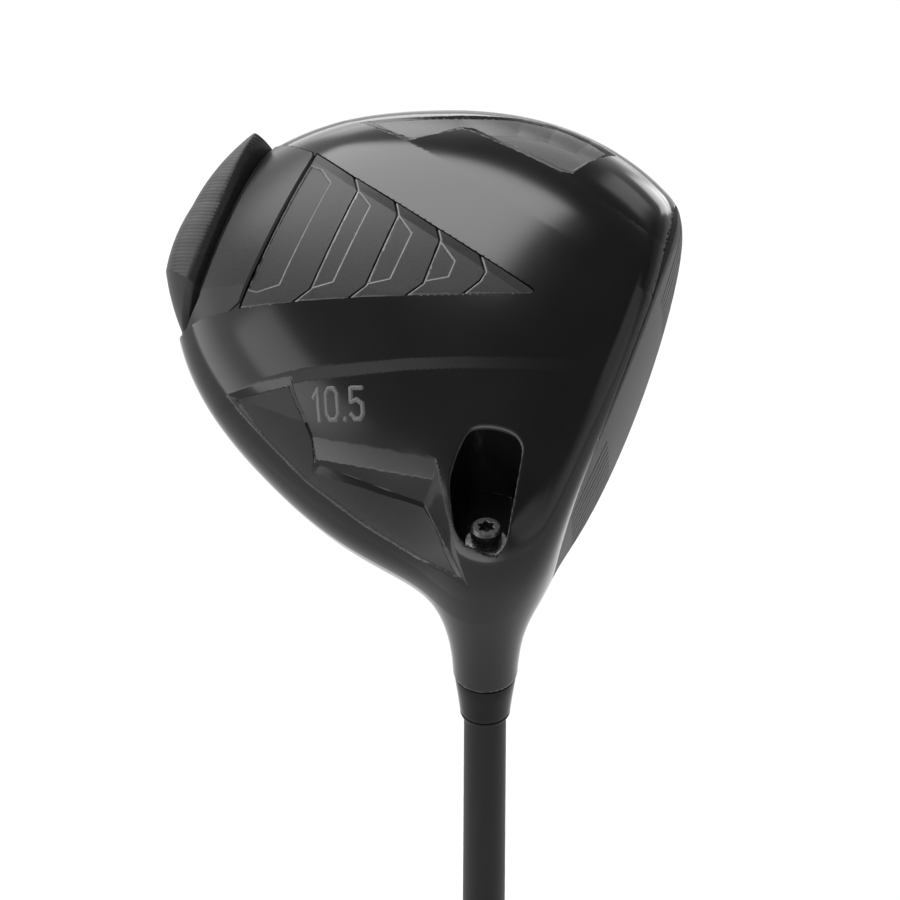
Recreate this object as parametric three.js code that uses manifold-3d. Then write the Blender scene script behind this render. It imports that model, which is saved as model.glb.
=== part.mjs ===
// A right-handed golf driver: a hollow titanium head with a bonded crown, held on a graphite
// shaft by a hosel sleeve and one screw from the sole, with a rubber grip at the far end.
// The club stands upright on its grip. The origin is the centre of the grip's end face, +Z runs
// up the shaft to the head, and +X is the way the face points.
// The head is drawn in its own frame: x towards the target, y towards the toe, z out of the sole.
// That frame starts where the shaft's axis meets the ground.
import * as THREE from "three";
import { mergeVertices } from "three/addons/utils/BufferGeometryUtils.js";
import Module from "manifold-3d";

const wasm = await Module();
wasm.setup();

// ---- Driving dimensions, in millimetres and degrees -------------------------------------------
const CLUB_LENGTH = 1156; // grip end to the ground, along the shaft: 45.5 inches
const LIE_ANGLE = 59;
const LOFT_ANGLE = 10.5;
const GAP = 0.3; // between pieces that meet face to face
const SLIP = 0.12; // between round pieces, one inside the other

const HEAD_CENTRE = new THREE.Vector3(-32, 42.5, -20); // on the plane of the head's widest outline
// Control radii of the outline seen from the sole, every 30 degrees from the face round by the toe.
const OUTLINE_RADII = [66.5, 61.5, 55, 50.5, 50.5, 58.5, 66.5, 58.5, 51.5, 55.5, 65.5, 68];
const SOLE_DEPTH = 20;
const SOLE_FULLNESS = 2.4; // 2 is an ellipse, more is fuller
const CROWN_HEIGHT = 43.5;
const CROWN_FULLNESS = 2.05;
const FACE_CENTRE = new THREE.Vector3(13, 42, -30);
const FACE_BULGE_RADIUS = 300;
const FACE_THICKNESS = 2.8;
const WALL = 1;
const CROWN_THICKNESS = 0.9;

// Places along the shaft's axis are given as a depth from the ground point towards the grip.
const HOSEL_RADIUS = 7;
const HOSEL_END = 50;
const SLEEVE_RADIUS = 5.9;
const SLEEVE_FOOT = 17.3;
const LEDGE_TOP = 12; // the pocket's floor, which the screw's washer bears on
const LEDGE_FOOT = 15;
const SCREW_RADIUS = 2.45; // M5
const SCREW_HEAD_RADIUS = 3.4;
const SCREW_HEAD_TOP = 7;
const SCREW_HEAD_FOOT = 11;
const SCREW_TIP = 27.2;
const INSERT_TOP = 20;
const SHAFT_TIP = 28;
const FERRULE_END = 62;

const SHAFT_BUTT_RADIUS = 7.6;
const SHAFT_TIP_RADIUS = 4.63;
const SHAFT_BUTT_WALL = 1;
const SHAFT_TIP_WALL = 1.8;
const SHAFT_BUTT = 3.3;
const TAPE_THICKNESS = 0.35;
const GRIP_LENGTH = 267; // 10.5 inches
const GRIP_BUTT_RADIUS = 13.3;
const GRIP_MOUTH_RADIUS = 8.9;

const ROUND_SEGMENTS = 24;
const SMOOTHING = 0.05; // how far simplifying may move a cut surface

// ---- Materials --------------------------------------------------------------------------------
const material = (color, roughness, metalness) =>
  new THREE.MeshStandardMaterial({ color, roughness, metalness });
const glossBlack = () => material(0x0c0c0d, 0.12, 0);
const satinGrey = () => material(0x55575a, 0.45, 0.8);
const brushedFace = () => material(0x3c3d40, 0.38, 0.9);
const ribbedMetal = () => material(0x26272a, 0.35, 0.8);
const mattePlastic = () => material(0x1b1c1e, 0.7, 0);
const steel = () => material(0x9a9c9f, 0.3, 1);
const blackMetal = () => material(0x17181a, 0.35, 0.7);
const graphite = () => material(0x2a2b2d, 0.4, 0.1);
const rubber = () => material(0x18191a, 0.85, 0);
const whitePaint = () => material(0xd8d8d6, 0.5, 0);

// ---- Solids -----------------------------------------------------------------------------------
// A closed three.js geometry as a solid that can be joined and cut.
function toSolid(geometry, matrix = new THREE.Matrix4()) {
  const bare = new THREE.BufferGeometry();
  const source = geometry.index ? geometry.toNonIndexed() : geometry;
  bare.setAttribute("position", source.getAttribute("position").clone());
  bare.applyMatrix4(matrix);
  const merged = mergeVertices(bare, 1e-4);
  const solid = new wasm.Manifold(
    new wasm.Mesh({
      numProp: 3,
      vertProperties: merged.attributes.position.array,
      triVerts: new Uint32Array(merged.index.array),
    }),
  );
  return solid;
}

// The main body of a cut solid, without the slivers that a cut along a curved face leaves.
function mainBody(solid) {
  const parts = solid.simplify(SMOOTHING).decompose();
  return parts.reduce((best, part) => (part.volume() > best.volume() ? part : best));
}

// A solid back as a three.js geometry with flat-shaded faces.
function toGeometry(solid) {
  const mesh = solid.getMesh();
  const geometry = new THREE.BufferGeometry();
  geometry.setAttribute("position", new THREE.BufferAttribute(mesh.vertProperties, 3));
  geometry.setIndex(new THREE.BufferAttribute(mesh.triVerts, 1));
  const flat = geometry.toNonIndexed();
  flat.computeVertexNormals();
  return flat;
}

function named(name, geometry, look) {
  const mesh = new THREE.Mesh(geometry, look);
  mesh.name = name;
  return mesh;
}

const radians = THREE.MathUtils.degToRad;
const points2 = (pairs) => pairs.map(([x, y]) => new THREE.Vector2(x, y));

// A closed solid of revolution about +Z from [radius, z] pairs that run upwards on the outside.
function turned(pairs, segments = ROUND_SEGMENTS) {
  const geometry = new THREE.LatheGeometry(points2(pairs), segments);
  geometry.rotateX(Math.PI / 2);
  return geometry;
}

// A tube about +Z whose outside and inside are [radius, z] pairs that both run upwards.
const tube = (outside, inside, segments) =>
  turned([...outside, ...inside.slice().reverse(), outside[0]], segments);

// A straight rod about +Z.
const rod = (radius, low, high, segments) =>
  turned([[0, low], [radius, low], [radius, high], [0, high]], segments);

// An outline extruded from z = low to z = high.
function prism(shape, low, high, curveSegments = 6) {
  const geometry = new THREE.ExtrudeGeometry(shape, {
    depth: high - low,
    bevelEnabled: false,
    curveSegments,
  });
  geometry.translate(0, 0, low);
  return geometry;
}

// A closed outline through its points, each corner grown outwards by a margin from the middle line.
function outline(pairs, margin = 0) {
  const corners = points2(pairs);
  if (THREE.ShapeUtils.area(corners) < 0) corners.reverse();
  const grown = corners.map((corner, i) => {
    const before = corners.at(i - 1);
    const after = corners[(i + 1) % corners.length];
    const edgeIn = corner.clone().sub(before).normalize();
    const edgeOut = after.clone().sub(corner).normalize();
    const outwards = new THREE.Vector2(edgeIn.y + edgeOut.y, -edgeIn.x - edgeOut.x).normalize();
    const reach = margin / Math.max(0.5, outwards.dot(new THREE.Vector2(edgeIn.y, -edgeIn.x)));
    return corner.clone().addScaledVector(outwards, reach);
  });
  return new THREE.Shape(grown);
}

// ---- Frames -----------------------------------------------------------------------------------
const headFrame = new THREE.Group();
headFrame.position.z = CLUB_LENGTH;
headFrame.rotation.x = radians(90 - LIE_ANGLE);
headFrame.updateMatrix();
const clubToHead = headFrame.matrix.clone().invert();
const level = (depth) => CLUB_LENGTH - depth; // the height of a place on the shaft's axis

// ---- The head's outer form --------------------------------------------------------------------
// The outline's radius at an angle: a closed cubic B-spline over the control radii.
function outlineRadius(angle) {
  const count = OUTLINE_RADII.length;
  const turn = (angle / (2 * Math.PI)) * count + count;
  const first = Math.floor(turn);
  const t = turn - first;
  const weights = [(1 - t) ** 3, 3 * t ** 3 - 6 * t * t + 4, 1 + 3 * t + 3 * t * t - 3 * t ** 3, t ** 3];
  return weights.reduce(
    (sum, weight, i) => sum + (weight / 6) * OUTLINE_RADII[(first + i - 1 + count) % count],
    0,
  );
}

const FORM_COLUMNS = 52;
const FORM_ROWS = 24;
const FORM_FLATNESS = 0.42; // spreads the rows evenly over the flat sole and its tight edge

// The rounded body without its face: every point of a sphere moves along its ray from the centre.
function pillow(inset) {
  const geometry = new THREE.SphereGeometry(1, FORM_COLUMNS, FORM_ROWS);
  geometry.rotateX(Math.PI / 2);
  const positions = geometry.getAttribute("position");
  const ray = new THREE.Vector3();
  for (let i = 0; i < positions.count; i++) {
    ray.fromBufferAttribute(positions, i);
    ray.z *= FORM_FLATNESS;
    const below = ray.z > 0;
    const power = below ? SOLE_FULLNESS : CROWN_FULLNESS;
    const height = (below ? SOLE_DEPTH : CROWN_HEIGHT) - inset;
    const width = outlineRadius(Math.atan2(ray.y, ray.x)) - inset;
    const across = Math.hypot(ray.x, ray.y) / width;
    const size = (across ** power + Math.abs(ray.z / height) ** power) ** (1 / power);
    ray.divideScalar(size).add(HEAD_CENTRE);
    positions.setXYZ(i, ray.x, ray.y, ray.z);
  }
  return toSolid(geometry);
}

// Everything behind the gently bulged face.
const faceTurn = new THREE.Quaternion().setFromUnitVectors(
  new THREE.Vector3(0, 0, 1),
  new THREE.Vector3(Math.cos(radians(LOFT_ANGLE)), 0, -Math.sin(radians(LOFT_ANGLE))),
);
const facePlace = new THREE.Matrix4().compose(FACE_CENTRE, faceTurn, new THREE.Vector3(1, 1, 1));

function behindFace(inset) {
  const reach = 100;
  const rings = 10;
  const profile = [[0, -200], [reach, -200]];
  for (let ring = rings; ring >= 0; ring--) {
    const radius = (reach * ring) / rings;
    profile.push([radius, Math.sqrt(FACE_BULGE_RADIUS ** 2 - radius ** 2) - FACE_BULGE_RADIUS - inset]);
  }
  return toSolid(turned(profile, 48), facePlace);
}

const headForm = (inset, faceInset = inset) => pillow(inset).intersect(behindFace(faceInset));

// The flared neck that carries the hosel into the body, kept flush on its heel side: [depth, radius].
const NECK_PROFILE = [
  [HOSEL_END, HOSEL_RADIUS], [44, 7.1], [39, 7.6], [35, 8.8], [31, 10.8],
  [27, 13.4], [22, 15], [14, 13], [8, 8],
];
const NECK_LEAN = 0.9; // the share of the flare that goes to the side of the head's middle
const TOWARDS_MIDDLE = new THREE.Vector2(-0.56, 0.83);

function neck() {
  const outside = NECK_PROFILE.map(([depth, radius]) => [radius, level(depth)]);
  const geometry = turned([[0, outside[0][1]], ...outside, [0, outside.at(-1)[1]]]);
  const positions = geometry.getAttribute("position");
  for (let i = 0; i < positions.count; i++) {
    const radius = Math.hypot(positions.getX(i), positions.getY(i));
    const z = positions.getZ(i);
    const ring = outside.find(([, height]) => Math.abs(height - z) < 1e-6);
    const shift = radius > 0 && ring ? (ring[0] - HOSEL_RADIUS) * NECK_LEAN : 0;
    positions.setX(i, positions.getX(i) + TOWARDS_MIDDLE.x * shift);
    positions.setY(i, positions.getY(i) + TOWARDS_MIDDLE.y * shift);
  }
  return toSolid(geometry, clubToHead);
}

const inClub = (geometry) => toSolid(geometry, clubToHead);

// ---- Outlines on the sole, [towards target, towards toe] --------------------------------------
const CHEVRON_OUTLINE = [
  [-70.5, 68], [-59, 64], [-35, 57], [-7.5, 49.2], [-35.5, 39.5], [-60.5, 31.2], [-72.5, 27],
];
const SMOOTH_OUTLINE = [
  [-83, 68.5], [-78, 69], [-71.4, 67.4], [-73.3, 28.5], [-76, 26], [-85, 21.5], [-83.5, 28],
];
const WEIGHT_OUTLINE = [[-110, 70], [-83.8, 68.5], [-84.2, 28], [-86, 20], [-110, 14]];
const TOE_OUTLINE = [
  [-63, 78.8], [-51, 76.8], [-42, 83.5], [-38, 83.5], [-13, 78.8], [-8.5, 84],
  [-7, 88.8], [-14, 91], [-22, 91.6], [-31, 90.6], [-43, 86.8], [-56, 82.4],
];
const HEEL_OUTLINE = [
  [-67, 8.2], [-53.5, 14], [-51.5, 11.5], [-45, 4.5], [-16, 6.8], [-12.5, 1],
  [-9, -5], [-9, -12], [-14, -13.2], [-29, -9.4], [-44, -4.4], [-57, 2],
];
// The screw's pocket, square to the shaft's axis: [towards target, away from the ground].
const POCKET_OUTLINE = [
  [-9.5, 14.8], [-1, 16], [2.3, 14], [3, 11], [5, 3], [6.8, -5.4], [5, -7.8],
  [1.4, -8.7], [-1.8, -8.4], [-6.6, -1.8], [-10.5, 4.2], [-11.2, 7], [-11, 12.5],
];

// ---- Inlays: thin pieces that follow the sole's surface ----------------------------------------
const SOLE_LOW = -19.5; // just short of the widest line, where the surface turns under
const SOLE_HIGH = 10;
const band = (from, to) => headForm(from).subtract(headForm(to));
const floorOf = (top, thickness) => top + thickness + GAP;
const solePrism = (pairs, margin, low = SOLE_LOW) =>
  toSolid(prism(outline(pairs, margin), low, SOLE_HIGH));

const HEEL_LOW = -14;
const RIM_LEVEL = -24; // the rear weight reaches this far round the rim, to below the crown's edge
// An inlay's top is its depth under the outer form: below zero it stands proud.
const inlay = (name, pairs, top, thickness, low, look) => ({ name, pairs, top, thickness, low, look });
const INLAYS = [
  inlay("chevron_insert", CHEVRON_OUTLINE, 0.4, 1.4, SOLE_LOW, mattePlastic),
  inlay("rear_sole_panel", SMOOTH_OUTLINE, 0, 1.4, SOLE_LOW, glossBlack),
  inlay("toe_panel", TOE_OUTLINE, 1, 0.8, SOLE_LOW, satinGrey),
  inlay("heel_panel", HEEL_OUTLINE, 1, 0.8, HEEL_LOW, satinGrey),
  inlay("rear_weight", WEIGHT_OUTLINE, -4, 7, RIM_LEVEL, ribbedMetal),
];

// ---- The crown and the face -------------------------------------------------------------------
const CROWN_EDGE_BACK = 4; // how far the crown's front edge stays behind the head frame's origin
const CROWN_EDGE_LEVEL = RIM_LEVEL - 2;
const CROWN_CLEARANCE = 19; // radius of the ring round the hosel that the crown leaves to the casting
function crownRegion(margin) {
  const [length, width, height] = [140, 160, 60]; // larger than the crown
  const block = new THREE.BoxGeometry(length, width, height);
  const front = margin - CROWN_EDGE_BACK;
  const edge = margin + CROWN_EDGE_LEVEL;
  block.translate(front - length / 2, HEAD_CENTRE.y, edge - height / 2);
  const aroundHosel = inClub(rod(CROWN_CLEARANCE - margin, level(FERRULE_END), level(-10), 40));
  return toSolid(block).subtract(aroundHosel);
}

const FACE_HALF_HEIGHT = 23;
const FACE_HALF_WIDTH = 47;
function faceRegion(margin) {
  const shape = new THREE.Shape();
  shape.absellipse(0, 1, FACE_HALF_HEIGHT + margin, FACE_HALF_WIDTH + margin, 0, 2 * Math.PI);
  return toSolid(prism(shape, -14, 10, 20), facePlace);
}

// ---- The body: sole, skirt, hosel and screw pocket in one casting ------------------------------
const LEDGE = 1; // thickness of the ledges that the crown and the face plate are bonded to
const LEDGE_WIDTH = 5;
const SEAT_MARGIN = 1.5; // how far the wall under an inlay reaches past it
const FORM_MARGIN = 20; // clears the outer form
const BORE_TUBE_RADIUS = 8.3; // the tube inside the body that carries the sleeve's bore
const POCKET_WALL = 1.4;
const SCREW_CLEARANCE = 0.35;

// The part of a region that lies less deep than a given depth under the outer form.
const shallow = (region, depth) => region.subtract(headForm(depth));
const inFront = (region, depth) => region.subtract(behindFace(depth));

function bodySolid() {
  const crownSeat = CROWN_THICKNESS + GAP;
  const faceSeat = FACE_THICKNESS + GAP;
  const crownRim = crownRegion(LEDGE_WIDTH / 2).subtract(crownRegion(-LEDGE_WIDTH));
  const faceRim = faceRegion(LEDGE_WIDTH / 2).subtract(faceRegion(-LEDGE_WIDTH / 2));

  // The room inside, less every ledge, seat and tube that stands up into it.
  let room = headForm(WALL, FACE_THICKNESS)
    .subtract(shallow(crownRim, crownSeat + LEDGE))
    .subtract(inFront(faceRim, faceSeat + LEDGE))
    .subtract(inClub(rod(BORE_TUBE_RADIUS, level(HOSEL_END), level(LEDGE_TOP))))
    .subtract(inClub(prism(outline(POCKET_OUTLINE, POCKET_WALL), level(LEDGE_FOOT), level(-FORM_MARGIN))));
  for (const { pairs, top, thickness, low } of INLAYS) {
    const seat = solePrism(pairs, SEAT_MARGIN, low - SEAT_MARGIN);
    room = room.subtract(shallow(seat, floorOf(top, thickness) + WALL));
  }

  // The casting, then the openings that the other pieces lie in.
  let body = headForm(0)
    .add(neck())
    .subtract(room)
    .subtract(shallow(crownRegion(0), crownSeat))
    .subtract(inFront(faceRegion(0), faceSeat));
  for (const { pairs, top, thickness, low } of INLAYS) {
    body = body.subtract(shallow(solePrism(pairs, GAP, low - GAP), floorOf(top, thickness)));
  }
  return body
    .subtract(inClub(prism(outline(POCKET_OUTLINE), level(LEDGE_TOP), level(-FORM_MARGIN))))
    .subtract(inClub(rod(SCREW_RADIUS + SCREW_CLEARANCE, level(INSERT_TOP), level(0))))
    .subtract(inClub(rod(SLEEVE_RADIUS + SLIP, level(HOSEL_END + 5), level(LEDGE_FOOT))));
}

const inlaySolid = ({ pairs, top, thickness, low }) =>
  solePrism(pairs, 0, low).intersect(band(top, top + thickness));

// ---- The loft number, raised on the casting beside the heel panel ------------------------------
const DIGIT_HEIGHT = 8.5;
const DIGIT_WIDTH = 4.4;
const STROKE = 1.1;
const LINE_HEIGHT = DIGIT_HEIGHT * 0.72; // between the middles of the top and bottom strokes
// Each digit is drawn with upright strokes in a unit cell, [x0, y0, x1, y1].
const bar = (x0, y0, x1, y1) => [x0, y0, x1, y1];
const STROKES = {
  1: [bar(0.5, 0, 0.5, 1)],
  0: [bar(0, 0, 0, 1), bar(1, 0, 1, 1), bar(0, 0, 1, 0), bar(0, 1, 1, 1)],
  ".": [bar(0.5, 0, 0.5, 0.02)],
  5: [bar(0, 1, 1, 1), bar(0, 0.5, 0, 1), bar(0, 0.5, 1, 0.5), bar(1, 0, 1, 0.5), bar(0, 0, 1, 0)],
};

function loftNumber() {
  const start = new THREE.Vector2(-47.6, 10.6);
  const along = new THREE.Vector2(0.93, 0.36).normalize();
  const across = new THREE.Vector2(-along.y, along.x);
  const text = [["1", 0, 0.3], ["0", 3.4, 0.75], [".", 8, 0.2], ["5", 10.2, 0.75]];
  let strokes = null;
  for (const [digit, offset, width] of text) {
    for (const [x0, y0, x1, y1] of STROKES[digit]) {
      const half = STROKE / 2;
      const low = [offset + x0 * width * DIGIT_WIDTH - half, (y0 - 0.5) * LINE_HEIGHT - half];
      const high = [offset + x1 * width * DIGIT_WIDTH + half, (y1 - 0.5) * LINE_HEIGHT + half];
      const corners = [low, [high[0], low[1]], high, [low[0], high[1]]].map(([a, b]) => {
        const place = start.clone().addScaledVector(along, a).addScaledVector(across, b);
        return [place.x, place.y];
      });
      const stroke = solePrism(corners, 0);
      strokes = strokes ? strokes.add(stroke) : stroke;
    }
  }
  return strokes.intersect(band(-0.3, 0.6));
}

// ---- The screw and the hosel -------------------------------------------------------------------
// A round-lobed star, as a Torx driver's socket.
function starShape(radius, depth) {
  const lobes = 6;
  const shape = new THREE.Shape();
  const steps = 48;
  for (let i = 0; i < steps; i++) {
    const angle = (2 * Math.PI * i) / steps;
    const reach = radius - (depth * (1 - Math.cos(lobes * angle))) / 2;
    const place = [reach * Math.cos(angle), reach * Math.sin(angle)];
    if (i === 0) shape.moveTo(...place);
    else shape.lineTo(...place);
  }
  return shape;
}

function screwSolid() {
  const headHigh = level(SCREW_HEAD_TOP);
  const headLow = level(SCREW_HEAD_FOOT);
  const blank = toSolid(
    turned([
      [0, level(SCREW_TIP)],
      [SCREW_RADIUS - 0.6, level(SCREW_TIP)],
      [SCREW_RADIUS, level(SCREW_TIP - 0.8)],
      [SCREW_RADIUS, headLow],
      [SCREW_HEAD_RADIUS, headLow],
      [SCREW_HEAD_RADIUS, headHigh - 0.5],
      [SCREW_HEAD_RADIUS - 0.5, headHigh],
      [0, headHigh],
    ]),
  );
  return blank.subtract(toSolid(prism(starShape(2.2, 0.6), headHigh - 2.2, headHigh + 1)));
}

const ring = (outer, inner, low, high) =>
  tube([[outer, low], [outer, high]], [[inner, low], [inner, high]]);

// A size that changes evenly along the shaft, from its butt to its tip.
const alongShaft = (z, butt, tip) => THREE.MathUtils.mapLinear(z, 0, level(SHAFT_TIP), butt, tip);
const shaftRadius = (z) => alongShaft(z, SHAFT_BUTT_RADIUS, SHAFT_TIP_RADIUS);
const shaftWall = (z) => alongShaft(z, SHAFT_BUTT_WALL, SHAFT_TIP_WALL);

const RIM_RADIUS = 6.2; // the sleeve's rim, which sits on the hosel inside the ferrule
const RIM_TOP = HOSEL_END + 2.2;
const STOP_RADIUS = 4.4; // the sleeve's bore under the shaft's tip, which stops the shaft

function sleeve() {
  const foot = level(SLEEVE_FOOT);
  const step = level(SHAFT_TIP - GAP);
  const shoulder = level(HOSEL_END + 0.15);
  const end = level(RIM_TOP);
  const bevel = 0.8;
  return tube(
    [
      [RIM_RADIUS, end],
      [RIM_RADIUS, shoulder],
      [SLEEVE_RADIUS, shoulder],
      [SLEEVE_RADIUS, foot - bevel],
      [SLEEVE_RADIUS - bevel, foot],
    ],
    [
      [shaftRadius(end) + SLIP, end],
      [shaftRadius(step) + SLIP, step],
      [STOP_RADIUS, step],
      [STOP_RADIUS, foot],
    ],
  );
}

const RING_HEIGHT = 1; // the trim ring at the ferrule's foot

function ferrule() {
  const low = level(FERRULE_END) + RING_HEIGHT + GAP;
  const step = level(RIM_TOP + GAP);
  const high = level(HOSEL_END + GAP);
  const inside = RIM_RADIUS + SLIP;
  return tube(
    [[5.7, low], [6.1, low + 3.8], [HOSEL_RADIUS - 0.1, high]],
    [[shaftRadius(low) + SLIP, low], [shaftRadius(step) + SLIP, step], [inside, step], [inside, high]],
  );
}

function ferruleRing() {
  const low = level(FERRULE_END);
  const high = low + RING_HEIGHT;
  return tube(
    [[5.35, low], [5.6, low + 0.3], [5.65, high]],
    [[shaftRadius(low) + SLIP, low], [shaftRadius(low) + SLIP, high]],
  );
}

function shaft() {
  const low = SHAFT_BUTT;
  const high = level(SHAFT_TIP);
  const bore = (z) => [shaftRadius(z) - shaftWall(z), z];
  return tube(
    [[shaftRadius(low), low], [shaftRadius(GRIP_LENGTH), GRIP_LENGTH], [shaftRadius(high), high]],
    [bore(low), bore(GRIP_LENGTH), bore(high)],
  );
}

// ---- The grip ----------------------------------------------------------------------------------
const TAPE_END = GRIP_LENGTH - 8;
const CAP_THICKNESS = 3;
const overShaft = (z, extra) => [shaftRadius(z) + extra, z];

function gripTape() {
  const low = CAP_THICKNESS + 1;
  const extra = SLIP + TAPE_THICKNESS;
  return tube(
    [overShaft(low, extra), overShaft(TAPE_END, extra)],
    [overShaft(low, SLIP), overShaft(TAPE_END, SLIP)],
  );
}

function grip() {
  const bore = TAPE_THICKNESS + 2 * SLIP;
  const low = CAP_THICKNESS + GAP;
  return tube(
    [[GRIP_BUTT_RADIUS, low], [GRIP_BUTT_RADIUS, 9], [12.6, 22], [11.9, 60], [10.9, 130], [9.9, 200],
      [9.2, 250], [GRIP_MOUTH_RADIUS, GRIP_LENGTH - 2], [GRIP_MOUTH_RADIUS - 0.5, GRIP_LENGTH]],
    [overShaft(low, bore), overShaft(GRIP_LENGTH, bore)],
  );
}

const gripCap = () =>
  turned([
    [0, 0],
    [11.6, 0],
    [12.8, 0.6],
    [GRIP_BUTT_RADIUS, 1.8],
    [GRIP_BUTT_RADIUS, CAP_THICKNESS],
    [0, CAP_THICKNESS],
  ]);

// ---- Assembly ----------------------------------------------------------------------------------
const driver = new THREE.Group();
driver.name = "golf_driver";

headFrame.add(named("head_body", toGeometry(mainBody(bodySolid().add(loftNumber()))), glossBlack()));
headFrame.add(
  named(
    "crown",
    toGeometry(mainBody(band(0, CROWN_THICKNESS).intersect(crownRegion(-GAP)))),
    glossBlack(),
  ),
);
headFrame.add(
  named(
    "face_plate",
    toGeometry(mainBody(headForm(0).subtract(headForm(-1, FACE_THICKNESS)).intersect(faceRegion(-GAP)))),
    brushedFace(),
  ),
);
for (const piece of INLAYS) {
  headFrame.add(named(piece.name, toGeometry(mainBody(inlaySolid(piece))), piece.look()));
}
driver.add(headFrame);

driver.add(named("hosel_screw", toGeometry(screwSolid()), blackMetal()));
driver.add(
  named("screw_washer", ring(4.6, 2.6, level(LEDGE_TOP - 0.1), level(SCREW_HEAD_FOOT + 0.1)), steel()),
);
driver.add(
  named("screw_retainer", ring(5.6, 2.55, level(SLEEVE_FOOT - 0.4), level(LEDGE_FOOT + 0.1)), rubber()),
);
driver.add(
  named("sleeve_thread_insert", ring(4.28, 2.55, level(SCREW_TIP), level(INSERT_TOP)), steel()),
);
driver.add(named("adapter_sleeve", sleeve(), blackMetal()));
driver.add(named("ferrule", ferrule(), glossBlack()));
driver.add(named("ferrule_ring", ferruleRing(), glossBlack()));
driver.add(named("shaft", shaft(), graphite()));
driver.add(
  named("shaft_tip_plug", rod(2.6, level(SHAFT_TIP + 4), level(SHAFT_TIP + 0.5)), mattePlastic()),
);
driver.add(named("grip_tape", gripTape(), whitePaint()));
driver.add(named("grip", grip(), rubber()));
driver.add(named("grip_end_cap", gripCap(), rubber()));

export default driver;
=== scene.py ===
# Golf driver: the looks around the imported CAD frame.
# The head's outer surface is one distance-like field in millimetres, in the head's own frame:
# u towards the target, v towards the toe, w out of the sole, from the point where the shaft's
# axis meets the ground. Each piece of the head is a closed region of that field, meshed with
# its sharp edges kept. The shaft, the hosel parts and the grip are turned profiles.
import math

import bpy
import numpy as np
from mathutils import Matrix, Vector


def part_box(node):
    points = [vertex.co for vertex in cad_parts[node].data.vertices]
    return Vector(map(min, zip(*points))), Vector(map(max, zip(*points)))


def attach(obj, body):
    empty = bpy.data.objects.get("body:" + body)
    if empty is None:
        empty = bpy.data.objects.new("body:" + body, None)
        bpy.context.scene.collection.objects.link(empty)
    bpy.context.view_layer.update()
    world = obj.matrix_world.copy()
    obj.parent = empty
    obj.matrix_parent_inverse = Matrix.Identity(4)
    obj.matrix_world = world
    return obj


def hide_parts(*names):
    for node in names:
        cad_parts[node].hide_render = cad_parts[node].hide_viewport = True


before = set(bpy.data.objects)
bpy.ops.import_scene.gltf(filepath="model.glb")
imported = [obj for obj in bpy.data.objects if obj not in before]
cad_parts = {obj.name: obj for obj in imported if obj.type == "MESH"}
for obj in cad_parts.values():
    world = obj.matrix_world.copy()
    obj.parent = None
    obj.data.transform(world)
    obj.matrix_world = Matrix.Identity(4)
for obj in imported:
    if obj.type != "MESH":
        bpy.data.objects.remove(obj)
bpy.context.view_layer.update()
MM = 0.001

# ---- The head's frame and its driving dimensions, in millimetres ---------------------------------
CLUB_LENGTH = 1156.0
LIE = math.radians(59.0)
LOFT = math.radians(10.5)
TARGET = np.array([1.0, 0, 0])
TOE = np.array([0, math.sin(LIE), math.cos(LIE)])
SOLE = np.array([0, -math.cos(LIE), math.sin(LIE)])
AXIS = np.array([0, -math.cos(LIE), -math.sin(LIE)])  # the shaft's axis in (u, v, w), to the grip

CENTRE = (-32.0, 42.5, -20.0)
OUTLINE = np.array([66.5, 61.5, 55, 50.5, 50.5, 58.5, 66.5, 58.5, 51.5, 55.5, 65.5, 68])
SOLE_DEPTH, SOLE_FULLNESS = 20.0, 2.4
CROWN_HEIGHT, CROWN_FULLNESS = 43.5, 2.05
FACE_CENTRE = np.array([13.0, 42.0, -30.0])
FACE_NORMAL = np.array([math.cos(LOFT), 0, -math.sin(LOFT)])
FACE_RADIUS = 300.0
LEADING_EDGE_ROUND = 5.0
HOSEL_RADIUS, HOSEL_END = 7.0, 50.0
NECK_BLEND = 26.0
NECK_FOOT, NECK_FOOT_ROUND = 6.0, 18.0
HOSEL_END_ROUND = 0.6
HAIRLINE = 0.12  # half the gap between neighbouring pieces
RIM_LEVEL = -19.5  # the sole's relief and the inlays end at this w, just outside the head's rim
AWAY = 50.0  # the distance given where an inlay's outline doesn't matter

# Outlines on the sole as (u, v).
CHEVRON = [(-70.2, 67.7), (-58.9, 63.8), (-35.1, 56.9), (-9.6, 49.8), (-8.2, 49.2), (-9, 48.4),
           (-35.3, 39.7), (-60.4, 31.3), (-72.3, 27.2)]
SMOOTH_PANEL = [(-83.2, 69.0), (-78.4, 68.9), (-71.2, 67.7), (-70.2, 66), (-72.6, 28.5),
                (-74.3, 26.3), (-80.3, 24), (-86, 20.8), (-83.9, 28)]
WEIGHT = [(-112, 72.4), (-83.4, 69.3), (-84, 28), (-86.2, 20.3), (-112, 15)]
CHEVRON_STEPS = [
    [(-58.7, 64.4), (-56.2, 60.8), (-57.3, 35.3), (-60.4, 31)],
    [(-46.8, 60.9), (-44.6, 57.5), (-45.1, 39.5), (-48.1, 34.9)],
    [(-35.0, 57.5), (-32.9, 54.3), (-32.7, 43.6), (-35.6, 39.4)],
    [(-23.1, 54.0), (-20.3, 50.2), (-20.7, 47.8), (-23.2, 43.6)],
]
CHEVRON_WELLS = [
    [(-70.2, 64.5), (-67, 64.1), (-63.3, 61.3), (-64.8, 34.5), (-69.6, 31.5), (-72.2, 31.6)],
    [(-56.2, 60.8), (-55.3, 60.5), (-51.6, 58), (-52.6, 38.2), (-57.1, 35.3), (-57.5, 35.4)],
    [(-44.6, 57.5), (-43.8, 57.2), (-39.7, 54.2), (-40.2, 42.4), (-44.6, 39.8), (-45.1, 39.6)],
    [(-32.9, 54.3), (-32.1, 53.8), (-27.7, 50.7), (-27.7, 46.6), (-32.4, 44), (-32.7, 43.8)],
]
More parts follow.
